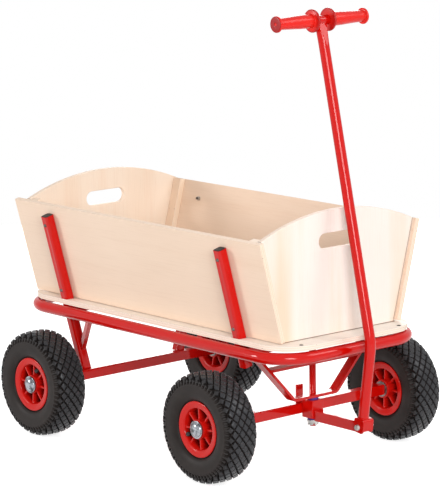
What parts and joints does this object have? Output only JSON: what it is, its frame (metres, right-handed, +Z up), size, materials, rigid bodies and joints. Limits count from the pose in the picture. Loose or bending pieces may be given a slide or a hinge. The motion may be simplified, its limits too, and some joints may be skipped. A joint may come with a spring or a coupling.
{
  "type": "wooden hand wagon",
  "caption": "Four-wheeled hand wagon with leaning plywood box sides, lift-out arched ends, red tube frame, kingpin steering, pneumatic tyres and a folding pull handle.",
  "frame": {"origin": "on the ground under the middle of the bounding box", "axes": "+X forward to the pull handle, +Y to the wagon's left, +Z up"},
  "size_m": [1.0566, 0.6826, 1.077],
  "materials": {
    "red_paint": "glossy red powder coat on steel tube",
    "birch_plywood": "pale untreated birch plywood",
    "pine": "planed softwood",
    "zinc_steel": "zinc-plated steel",
    "bright_cap": "pressed bright steel",
    "purple_nylon": "moulded purple nylon",
    "red_grip": "soft glossy red plastic",
    "tyre_rubber": "brown-black tyre rubber",
    "tube_rubber": "black butyl rubber",
    "red_rim": "moulded glossy red plastic",
    "bearing_steel": "ground bearing steel"
  },
  "bodies": {
    "chassis": {"front_rim_tube": "red_paint", "rear_rim_tube": "red_paint", "rear_cross_tube": "red_paint", "front_bolster": "red_paint", "floor_screws": "zinc_steel", "floor_board": "birch_plywood", "front_left_stake": "red_paint", "front_right_stake": "red_paint", "rear_left_stake": "red_paint", "rear_right_stake": "red_paint", "left_side_panel": "birch_plywood", "right_side_panel": "birch_plywood", "panel_battens": "pine", "panel_bolts": "zinc_steel", "panel_nuts": "zinc_steel", "rear_axle_tube": "red_paint", "left_rear_brace": "red_paint", "right_rear_brace": "red_paint", "steering_hanger": "red_paint", "hanger_brace": "red_paint", "kingpin": "red_paint", "kingpin_washer": "zinc_steel", "castle_nut": "zinc_steel", "split_pin": "zinc_steel", "rear_stub_axles": "zinc_steel", "rear_axle_washers": "zinc_steel", "rear_hub_caps": "bright_cap"},
    "steering": {"front_axle_tube": "red_paint", "kingpin_housing": "red_paint", "steering_bushes": "purple_nylon", "stop_tab": "red_paint", "tongue": "red_paint", "front_stub_axles": "zinc_steel", "front_axle_washers": "zinc_steel", "front_hub_caps": "bright_cap"},
    "handle": {"handle_stem": "red_paint", "handle_clevis": "red_paint", "handle_crossbar": "red_paint", "left_grip": "red_grip", "right_grip": "red_grip", "hinge_bolt": "zinc_steel", "hinge_nut": "zinc_steel"},
    "front_right_wheel": {"front_right_tyre": "tyre_rubber", "front_right_inner_tube": "tube_rubber", "front_right_rim": "red_rim", "front_right_bearings": "bearing_steel"},
    "front_left_wheel": {"front_left_tyre": "tyre_rubber", "front_left_inner_tube": "tube_rubber", "front_left_rim": "red_rim", "front_left_bearings": "bearing_steel"},
    "rear_right_wheel": {"rear_right_tyre": "tyre_rubber", "rear_right_inner_tube": "tube_rubber", "rear_right_rim": "red_rim", "rear_right_bearings": "bearing_steel"},
    "rear_left_wheel": {"rear_left_tyre": "tyre_rubber", "rear_left_inner_tube": "tube_rubber", "rear_left_rim": "red_rim", "rear_left_bearings": "bearing_steel"},
    "front_panel": {"front_panel": "birch_plywood"},
    "rear_panel": {"rear_panel": "birch_plywood"}
  },
  "joints": [
    {"name": "steer", "type": "hinge", "parent": "chassis", "child": "steering", "pos_m": [0.31869, 0, 0.13], "axis": [0, 0, 1], "range_deg": [-28, 28]},
    {"name": "handle_fold", "type": "hinge", "parent": "steering", "child": "handle", "pos_m": [0.48869, 0, 0.117], "axis": [0, 1, 0], "range_deg": [0, 95]},
    {"name": "front_right_spin", "type": "hinge", "parent": "steering", "child": "front_right_wheel", "pos_m": [0.28669, -0.294, 0.13], "axis": [0, 1, 0], "continuous": true},
    {"name": "front_left_spin", "type": "hinge", "parent": "steering", "child": "front_left_wheel", "pos_m": [0.28669, 0.294, 0.13], "axis": [0, 1, 0], "continuous": true},
    {"name": "rear_right_spin", "type": "hinge", "parent": "chassis", "child": "rear_right_wheel", "pos_m": [-0.34731, -0.294, 0.13], "axis": [0, 1, 0], "continuous": true},
    {"name": "rear_left_spin", "type": "hinge", "parent": "chassis", "child": "rear_left_wheel", "pos_m": [-0.34731, 0.294, 0.13], "axis": [0, 1, 0], "continuous": true},
    {"name": "front_panel_lift", "type": "slide", "parent": "chassis", "child": "front_panel", "axis": [0, 0, 1], "range_m": [0, 0.1]},
    {"name": "rear_panel_lift", "type": "slide", "parent": "chassis", "child": "rear_panel", "axis": [0, 0, 1], "range_m": [0, 0.25]}
  ]
}
